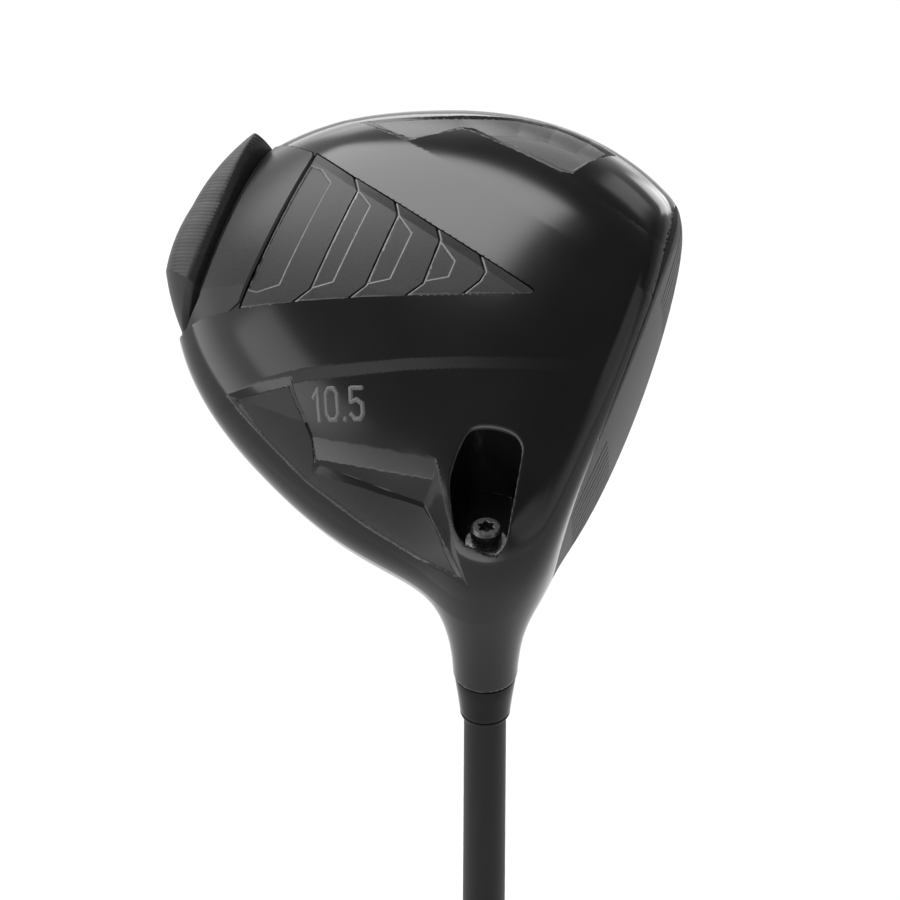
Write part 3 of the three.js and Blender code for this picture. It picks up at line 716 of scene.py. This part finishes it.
def level(depth):
    """Height in the frame of a place this far from the ground along the shaft's axis."""
    return CLUB_LENGTH - depth


def rounded_corners(points, radius, steps=4):
    """A closed ring of (radius, height) with its corners rounded."""
    ring = []
    count = len(points)
    for i in range(count):
        before, here, after = (np.array(points[(i + k - 1) % count], float) for k in range(3))
        reach = min(radius, 0.45 * np.linalg.norm(before - here), 0.45 * np.linalg.norm(after - here))
        start = here + (before - here) / np.linalg.norm(before - here) * reach
        end = here + (after - here) / np.linalg.norm(after - here) * reach
        for j in range(steps + 1):
            t = j / steps
            place = (1 - t) ** 2 * start + 2 * t * (1 - t) * here + t * t * end
            ring.append(tuple(place))
    return ring


# ---- Materials -----------------------------------------------------------------------------------
NOISE_DETAIL = 3.0


def material(name, dark, light, roughness, metallic=0.0, coat=0.0, scale=400.0, bump=0.0,
             coat_roughness=0.03, stretch=(1, 1, 1), spread=0.05, specular=0.5):
    """A finish whose colour and roughness vary a little by noise fixed to the piece."""
    made = bpy.data.materials.new(name)
    made.use_nodes = True
    nodes, links = made.node_tree.nodes, made.node_tree.links
    shader = nodes["Principled BSDF"]
    place = nodes.new("ShaderNodeTexCoord")
    mapping = nodes.new("ShaderNodeMapping")
    mapping.inputs["Scale"].default_value = stretch
    noise = nodes.new("ShaderNodeTexNoise")
    noise.inputs["Scale"].default_value = scale
    noise.inputs["Detail"].default_value = NOISE_DETAIL
    colour = nodes.new("ShaderNodeValToRGB")
    colour.color_ramp.elements[0].position = 0.3
    colour.color_ramp.elements[1].position = 0.7
    colour.color_ramp.elements[0].color = (*dark, 1)
    colour.color_ramp.elements[1].color = (*light, 1)
    rough = nodes.new("ShaderNodeMapRange")
    rough.inputs["To Min"].default_value = roughness - spread
    rough.inputs["To Max"].default_value = roughness + spread
    links.new(place.outputs["Object"], mapping.inputs["Vector"])
    links.new(mapping.outputs["Vector"], noise.inputs["Vector"])
    links.new(noise.outputs["Fac"], colour.inputs["Fac"])
    links.new(noise.outputs["Fac"], rough.inputs["Value"])
    links.new(colour.outputs["Color"], shader.inputs["Base Color"])
    links.new(rough.outputs["Result"], shader.inputs["Roughness"])
    shader.inputs["Metallic"].default_value = metallic
    shader.inputs["Coat Weight"].default_value = coat
    shader.inputs["Coat Roughness"].default_value = coat_roughness
    shader.inputs["Specular IOR Level"].default_value = specular
    if bump:
        relief_node = nodes.new("ShaderNodeBump")
        relief_node.inputs["Strength"].default_value = bump
        relief_node.inputs["Distance"].default_value = 0.0002
        links.new(noise.outputs["Fac"], relief_node.inputs["Height"])
        links.new(relief_node.outputs["Normal"], shader.inputs["Normal"])
    return made


def grey(value):
    return (value, value, value)


gloss_body = material("gloss_black_lacquer", grey(0.0022), grey(0.0034), 0.14, coat=0.12, scale=60,
                      coat_roughness=0.05, spread=0.02, specular=0.26)
gloss_crown = material("gloss_black_crown", grey(0.002), grey(0.003), 0.12, coat=0.6, scale=50,
                       spread=0.02)
satin_black = material("satin_black", grey(0.006), grey(0.010), 0.42, specular=0.22, scale=2600,
                       bump=0.15)
# The toe floor is the same satin finish as the heel floor, painted lighter: a painted reflection for the
# light that its tilt catches.
satin_toe_painted_light = material("satin_toe_painted_light", grey(0.03), grey(0.045), 0.36, scale=2600, bump=0.15)
matte_chevron = material("grained_plastic", grey(0.008), grey(0.017), 0.36, specular=0.25, scale=3200,
                         bump=0.15)
# A lighter finish on the chevron scales' edges: a painted highlight for the thin bright lines along their
# bevels.
chevron_painted_highlight = material("painted_highlight_edge", grey(0.07), grey(0.10), 0.32, scale=1500)
panel_black = material("satin_panel", grey(0.007), grey(0.011), 0.30, specular=0.25, scale=1800,
                       bump=0.08)
face_metal = material("brushed_face", grey(0.004), grey(0.011), 0.42, scale=900,
                      stretch=(1, 1, 14), bump=0.25, specular=0.1)
weight_metal = material("ribbed_weight", grey(0.007), grey(0.012), 0.40, specular=0.16, scale=1500,
                        bump=0.1)
screw_steel = material("blackened_steel", grey(0.05), grey(0.09), 0.28, metallic=0.9, scale=1200)
bright_steel = material("bright_steel", grey(0.42), grey(0.5), 0.25, metallic=1.0, scale=900)
sleeve_alloy = material("anodised_alloy", grey(0.03), grey(0.05), 0.3, metallic=0.9, scale=900)
ferrule_gloss = material("ferrule_gloss", grey(0.003), grey(0.005), 0.08, specular=0.1, scale=70,
                         spread=0.01)
shaft_satin = material("shaft_paint", grey(0.006), grey(0.008), 0.45, specular=0.13, scale=300,
                       stretch=(1, 1, 0.2))
rubber = material("grip_rubber", grey(0.006), grey(0.011), 0.62, scale=2600, bump=0.3)
tape_paper = material("tape", grey(0.25), grey(0.4), 0.8, scale=700, bump=0.3)
loft_paint = material("loft_number", grey(0.045), grey(0.06), 0.35, scale=1500)
mark_white = material("index_mark", grey(0.55), grey(0.65), 0.5, scale=1200)


def settle(piece, body, slot, *nodes):
    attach(piece, body)
    if nodes:
        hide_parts(*nodes)
    return piece


# ---- The head ------------------------------------------------------------------------------------
settle(field_piece("head_body_shell", body_field, (-99, -40, -66), (20, 98, 5), 0.5, gloss_body),
       "head", "gloss_black_metal", "head_body")
settle(field_piece("crown_shell", crown_field, (-99, -22, -66), (0, 98, -28), 0.8, gloss_crown),
       "head", "gloss_black_crown", "crown")
settle(field_piece("face_shell", face_field, (0, -14, -60), (19, 96, -2), 0.4, face_metal),
       "head", "brushed_face", "face_plate")
# The chevrons' edge faces take the lighter finish, which is a painted highlight.
settle(field_piece("chevrons", insert_field, (-76, 24, -16), (-5, 71, 3), 0.22, matte_chevron,
                   on_scale_edge, chevron_painted_highlight),
       "head", "textured_plastic", "chevron_insert")
settle(field_piece("rear_panel", panel_field, (-90, 17, -22), (-67, 72, 3), 0.26, panel_black),
       "head", "satin_grey_metal", "rear_sole_panel")
settle(field_piece("weight", weight_field, (-104, 8, -26), (-80, 74, 3), 0.28, weight_metal),
       "head", "ribbed_dark_metal", "rear_weight")
# The toe floor takes the lighter copy of the satin finish, which is painted light.
settle(field_piece("toe_floor", floor_piece(TOE_FLOOR), (-66, 74, -20), (-4, 95, 2), 0.3,
                   satin_toe_painted_light),
       "head", "satin_grey_metal", "toe_panel")
settle(field_piece("heel_floor", floor_piece(HEEL_FLOOR), (-70, -18, -20), (-5, 18, 3), 0.3,
                   satin_black),
       "head", "satin_grey_metal", "heel_panel")
settle(field_piece("loft_figures", loft_field, (-54, 4, -8), (-30, 22, 4), 0.17, loft_paint),
       "head", "satin_grey_metal")

# A small painted mark at the hosel's end, which shows how the sleeve is turned.
MARK_LOW, MARK_HIGH, MARK_HALF_WIDTH, MARK_RISE = 45.2, 48.8, 0.42, 0.06
MARK_ANGLE = math.radians(-102.0)
MARK_DEPTH, MARK_OUT, MARK_REACH = 47, 6.9, 3  # the middle of the box that the mark is meshed in


def mark_field(u, v, w):
    depth, off = about_axis(u, v, w)
    y = across_axis(v, w)
    sideways = np.abs(y * math.cos(MARK_ANGLE) - u * math.sin(MARK_ANGLE)) - MARK_HALF_WIDTH
    ahead = u * math.cos(MARK_ANGLE) + y * math.sin(MARK_ANGLE)
    shell = np.maximum(off - HOSEL_RADIUS - MARK_RISE, HOSEL_RADIUS - 0.2 - off)
    ends = np.maximum(MARK_LOW - depth, depth - MARK_HIGH)
    return np.maximum(np.maximum(shell, ends), np.maximum(sideways, 3 - ahead))


mark_middle = np.array([-1.5, 0.857 * -MARK_OUT + AXIS[1] * MARK_DEPTH,
                        -0.515 * -MARK_OUT + AXIS[2] * MARK_DEPTH])
settle(field_piece("sleeve_mark", mark_field, mark_middle - MARK_REACH, mark_middle + MARK_REACH,
                   0.12, mark_white),
       "head", "tape")

# ---- The shaft's side ----------------------------------------------------------------------------
SHAFT_BUTT_RADIUS, SHAFT_TIP_RADIUS, SHAFT_TIP, SHAFT_BUTT = 7.6, 4.63, 28.0, 3.3
SLIP = 0.12
SLEEVE_RADIUS, SLEEVE_FOOT = 5.9, 17.3


def shaft_radius(z):
    return SHAFT_BUTT_RADIUS + (SHAFT_TIP_RADIUS - SHAFT_BUTT_RADIUS) * z / level(SHAFT_TIP)


def bore_radius(z):
    wall = 1.0 + 0.8 * z / level(SHAFT_TIP)
    return shaft_radius(z) - wall


shaft_heights = np.linspace(SHAFT_BUTT, level(SHAFT_TIP), 60)
shaft_ring = [(shaft_radius(z), z) for z in shaft_heights]
shaft_ring += [(bore_radius(z), z) for z in shaft_heights[::-6]]
settle(turned("shaft_tube", shaft_ring, shaft_satin), "shaft_assembly", "shaft_graphite", "shaft")

sleeve_end, sleeve_step = level(HOSEL_END + 2.2), level(SHAFT_TIP - 0.3)
sleeve_foot, sleeve_shoulder = level(SLEEVE_FOOT), level(HOSEL_END + 0.15)
sleeve_ring = [(6.2, sleeve_end), (6.2, sleeve_shoulder), (SLEEVE_RADIUS, sleeve_shoulder),
               (SLEEVE_RADIUS, sleeve_foot), (4.4, sleeve_foot), (4.4, sleeve_step),
               (shaft_radius(sleeve_step) + SLIP, sleeve_step),
               (shaft_radius(sleeve_end) + SLIP, sleeve_end)]
settle(turned("adapter", rounded_corners(sleeve_ring, 0.3), sleeve_alloy), "shaft_assembly",
       "anodised_aluminium", "adapter_sleeve")

ferrule_low, ferrule_high = level(60.7), level(HOSEL_END + 0.3)
ferrule_step = level(HOSEL_END + 2.5)
ferrule_ring_points = [(5.7, ferrule_low), (5.82, ferrule_low + 1.2), (6.1, ferrule_low + 3.8),
                       (6.5, ferrule_low + 7), (6.9, ferrule_high), (6.35, ferrule_high),
                       (6.35, ferrule_step), (shaft_radius(ferrule_step) + SLIP, ferrule_step),
                       (shaft_radius(ferrule_low) + SLIP, ferrule_low)]
settle(turned("ferrule_collar", rounded_corners(ferrule_ring_points, 0.25), ferrule_gloss),
       "shaft_assembly", "ferrule_plastic", "ferrule")
trim_low = level(62)
trim_ring = [(5.35, trim_low), (5.62, trim_low + 0.35), (5.65, trim_low + 1),
             (shaft_radius(trim_low) + SLIP, trim_low + 1), (shaft_radius(trim_low) + SLIP, trim_low)]
settle(turned("ferrule_trim", rounded_corners(trim_ring, 0.15), ferrule_gloss), "shaft_assembly",
       "ferrule_plastic", "ferrule_ring")

# The grip: a tapered sleeve with rows of small diamonds between plain bands.
GRIP_PROFILE = [(13.3, 3.3), (13.3, 9), (12.6, 22), (11.9, 60), (10.9, 130), (9.9, 200), (9.2, 250),
                (8.9, 265)]
GROOVE_DEPTH = 0.35
PLAIN_BANDS = [(3, 16), (62, 70), (128, 136), (194, 202), (250, 268)]


def grip_radius(z):
    heights = [p[1] for p in GRIP_PROFILE]
    return np.interp(z, heights, [p[0] for p in GRIP_PROFILE])


def grip_relief(radius, angle, height):
    outer = radius > shaft_radius(height) + 1
    turn = angle / (2 * math.pi)
    one = np.abs((turn * 30 + height / 5.2) % 1 - 0.5) * 2
    other = np.abs((turn * 30 - height / 5.2) % 1 - 0.5) * 2
    groove = np.clip(1 - np.minimum(one, other) / 0.3, 0, 1)
    plain = np.zeros(np.shape(height + angle), bool)
    edge = np.zeros(np.shape(height + angle))
    for low, high in PLAIN_BANDS:
        plain |= (height + 0 * angle > low) & (height + 0 * angle < high)
        for end in (low, high):
            edge = np.maximum(edge, np.clip(1 - np.abs(height + 0 * angle - end) / 0.8, 0, 1))
    depth = np.where(plain, 0, groove)
    depth = np.maximum(depth, 1.4 * edge * ((height > 10) & (height < 262)))
    return -GROOVE_DEPTH * depth * outer


GRIP_STEP = 0.7
grip_heights = np.arange(3.3, 264.9, GRIP_STEP)
grip_ring = [(grip_radius(z), z) for z in grip_heights]
grip_ring += [(8.9, 265), (8.75, 266.4), (8.4, 267), (shaft_radius(267) + 0.6, 267)]
grip_ring += [(shaft_radius(z) + 0.6, z) for z in np.linspace(260, 3.3, 12)]
settle(turned("grip_sleeve", grip_ring, rubber, segments=240, relief_of=grip_relief),
       "shaft_assembly", "grip_rubber", "grip")
cap_ring = [(0.001, 3), (13.3, 3), (13.3, 1.8), (12.8, 0.6), (11.6, 0), (9.4, 0), (9.1, 0.35),
            (8.4, 0.35), (8.1, 0), (1.2, 0), (1.1, 1.6), (0.001, 1.6)]
settle(turned("end_cap", rounded_corners(cap_ring, 0.25), rubber), "shaft_assembly", "grip_rubber",
       "grip_end_cap")

# ---- The screw and its washer --------------------------------------------------------------------
SCREW_RADIUS, SCREW_HEAD_RADIUS = 2.45, 3.4
SCREW_HEAD_TOP, SCREW_HEAD_FOOT, SCREW_TIP = 7.0, 11.0, 27.2
HEAD_CHAMFER, SHANK_FROM = 0.5, 10
THREAD_FROM, THREAD_PITCH, THREAD_DEPTH = 17.5, 0.8, 0.22
STAR_RADIUS, STAR_LOBE, SOCKET_DEPTH = 1.65, 0.3, 1.9


def screw_field(u, v, w):
    """A socket-head screw whose shank is threaded from THREAD_FROM to its tip."""
    depth, off = about_axis(u, v, w)
    angle = np.arctan2(across_axis(v, w), u)
    head = np.maximum(off - SCREW_HEAD_RADIUS,
                      np.maximum(SCREW_HEAD_TOP - depth, depth - SCREW_HEAD_FOOT))
    head = np.maximum(head, (off - SCREW_HEAD_RADIUS + HEAD_CHAMFER + SCREW_HEAD_TOP - depth) * 0.7)
    shank = np.maximum(off - SCREW_RADIUS, np.maximum(SHANK_FROM - depth, depth - SCREW_TIP))
    turns = (depth + angle * THREAD_PITCH / (2 * math.pi)) / THREAD_PITCH
    thread = THREAD_DEPTH * np.abs(turns % 1 - 0.5)
    shank = np.maximum(shank, np.where(depth > THREAD_FROM, off - SCREW_RADIUS + thread, -1))
    star = off - (STAR_RADIUS + STAR_LOBE * np.cos(6 * angle))
    socket = np.maximum(star, depth - SCREW_HEAD_TOP - SOCKET_DEPTH)
    return np.maximum(np.minimum(head, shank), -socket)


def along_axis(depth):
    return np.array([0, AXIS[1] * depth, AXIS[2] * depth])


middle = along_axis(17)
settle(field_piece("screw", screw_field, middle - [4, 11, 13], middle + [4, 11, 13],
                   0.2, screw_steel), "screw", "dark_steel", "hosel_screw")
washer_low, washer_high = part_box("screw_washer")[0].z / MM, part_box("screw_washer")[1].z / MM
washer_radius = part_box("screw_washer")[1].x / MM
washer_ring = [(washer_radius, washer_low), (washer_radius, washer_high),
               (SCREW_RADIUS + 0.12, washer_high), (SCREW_RADIUS + 0.12, washer_low)]
settle(turned("washer_ring", rounded_corners(washer_ring, 0.15), bright_steel, 64), "washer",
       "bright_steel", "screw_washer")

for node, finish in (("screw_retainer", rubber), ("sleeve_thread_insert", bright_steel),
                     ("shaft_tip_plug", rubber), ("grip_tape", tape_paper)):
    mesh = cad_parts[node].data
    if mesh.materials:
        mesh.materials[0] = finish
    else:
        mesh.materials.append(finish)

# ---- The floor, the light and the camera ---------------------------------------------------------
floor_mesh = bpy.data.meshes.new("floor")
side = 60.0
floor_mesh.from_pydata([(-side, -side, 0), (side, -side, 0), (side, side, 0), (-side, side, 0)], [],
                       [(0, 1, 2, 3)])
floor = bpy.data.objects.new("floor", floor_mesh)
bpy.context.scene.collection.objects.link(floor)
floor.location.z = -0.0005
floor_paint = material("floor", grey(0.52), grey(0.54), 0.9, scale=3, specular=0.1)
floor_mesh.materials.append(floor_paint)

# The studio: a dome that is bright at the horizon and dark overhead, with soft boxes in it.
# Each box is (azimuth, elevation, half-width, half-height, softness, brightness) in degrees.
AZIMUTH, ELEVATION = math.radians(25.0), math.radians(40.5)
back = np.array([math.sin(AZIMUTH) * math.cos(ELEVATION), -math.cos(AZIMUTH) * math.cos(ELEVATION),
                 math.sin(ELEVATION)])
right = np.array([math.cos(AZIMUTH), math.sin(AZIMUTH), 0])
up = np.cross(back, right)

world = bpy.data.worlds.new("studio")
bpy.context.scene.world = world
world.use_nodes = True
nodes, links = world.node_tree.nodes, world.node_tree.links
background = nodes["Background"]
coordinates = nodes.new("ShaderNodeTexCoord")
separate = nodes.new("ShaderNodeSeparateXYZ")
links.new(coordinates.outputs["Generated"], separate.inputs["Vector"])
STUDIO_LEVEL = 5.0
# Azimuth, elevation, half-width, half-height, softness of the edge, brightness.
SOFT_BOXES = [
    (162, 59, 0.27, 0.37, 0.07, 9.0),
    (125, 22, 0.20, 0.12, 0.10, 3.0),
    (84, 50, 0.10, 0.16, 0.06, 2.5),
    (78, 14, 0.18, 0.24, 0.08, 6.5),
    (-142, 38, 0.16, 0.14, 0.08, 2.4),
    (-5, 45, 0.30, 0.50, 0.25, 0.9),
]
DOME = [(0.0, 1.0), (0.2, 0.75), (0.37, 0.42), (0.59, 0.27), (0.69, 0.14), (0.77, 0.09), (0.87, 0.06),
        (0.97, 0.035)]
dome = nodes.new("ShaderNodeValToRGB")
for i, (height, value) in enumerate(DOME):
    element = dome.color_ramp.elements[i] if i < 2 else dome.color_ramp.elements.new(height)
    element.position = height
    element.color = (value, value, value, 1)
links.new(separate.outputs["Z"], dome.inputs["Fac"])


def math_node(operation, first, second):
    node = nodes.new("ShaderNodeMath")
    node.operation = operation
    for socket, value in zip(node.inputs, (first, second)):
        if isinstance(value, (int, float)):
            socket.default_value = value
        else:
            links.new(value, socket)
    return node.outputs["Value"]


def towards(azimuth, elevation):
    azimuth, elevation = math.radians(azimuth), math.radians(elevation)
    return np.array([math.cos(elevation) * math.cos(azimuth), math.cos(elevation) * math.sin(azimuth),
                     math.sin(elevation)])


def along(direction):
    node = nodes.new("ShaderNodeVectorMath")
    node.operation = "DOT_PRODUCT"
    node.inputs[1].default_value = direction
    links.new(coordinates.outputs["Generated"], node.inputs[0])
    return node.outputs["Value"]


def fade(value, full, gone):
    node = nodes.new("ShaderNodeMapRange")
    node.interpolation_type = "SMOOTHSTEP"
    node.inputs["From Min"].default_value = gone
    node.inputs["From Max"].default_value = full
    links.new(value, node.inputs["Value"])
    return node.outputs["Result"]


def soft_box(azimuth, elevation, half_width, half_height, soft, brightness):
    """A rectangular soft box in a plane one unit away, with its edges faded over soft."""
    ahead = towards(azimuth, elevation)
    sideways = towards(azimuth + 90, 0)
    upwards = np.cross(ahead, sideways)
    distance = math_node("MAXIMUM", along(ahead), 0.001)
    lit = brightness
    for direction, half in ((sideways, half_width), (upwards, half_height)):
        offset = math_node("ABSOLUTE", math_node("DIVIDE", along(direction), distance), 0)
        lit = math_node("MULTIPLY", fade(offset, half - soft / 2, half + soft / 2), lit)
    return math_node("MULTIPLY", fade(distance, 0.2, 0.1), lit)


# The dome is dimmer on the side that the face looks to.
from_face = fade(along(towards(10, 0)), 0.0, 0.7)
side_light = math_node("ADD", 0.25, math_node("MULTIPLY", from_face, 0.75))
total = math_node("MULTIPLY", math_node("MULTIPLY", dome.outputs["Color"], STUDIO_LEVEL), side_light)
for box in SOFT_BOXES:
    total = math_node("ADD", total, soft_box(*box))
links.new(total, background.inputs["Strength"])
background.inputs["Color"].default_value = (1, 1, 1, 1)

# The camera looks past the axis's foot on the ground: a little to its left and above it.
CAMERA_DISTANCE, CAMERA_LEFT, CAMERA_ABOVE = 1.01075, 0.00785, 0.01118
camera = bpy.data.objects.new("camera", bpy.data.cameras.new("camera"))
camera.data.lens = 188.0
camera.data.sensor_width = 36.0
camera.data.clip_end = 200
foot = np.array([0, 0, CLUB_LENGTH * MM])
place = foot + back * CAMERA_DISTANCE - right * CAMERA_LEFT + up * CAMERA_ABOVE
turn = Matrix([[r, u, b] for r, u, b in zip(right, up, back)])
camera.matrix_world = Matrix.LocRotScale(Vector(place), turn, None)
bpy.context.scene.collection.objects.link(camera)
bpy.context.scene.camera = camera
bpy.context.scene.view_settings.view_transform = "Standard"
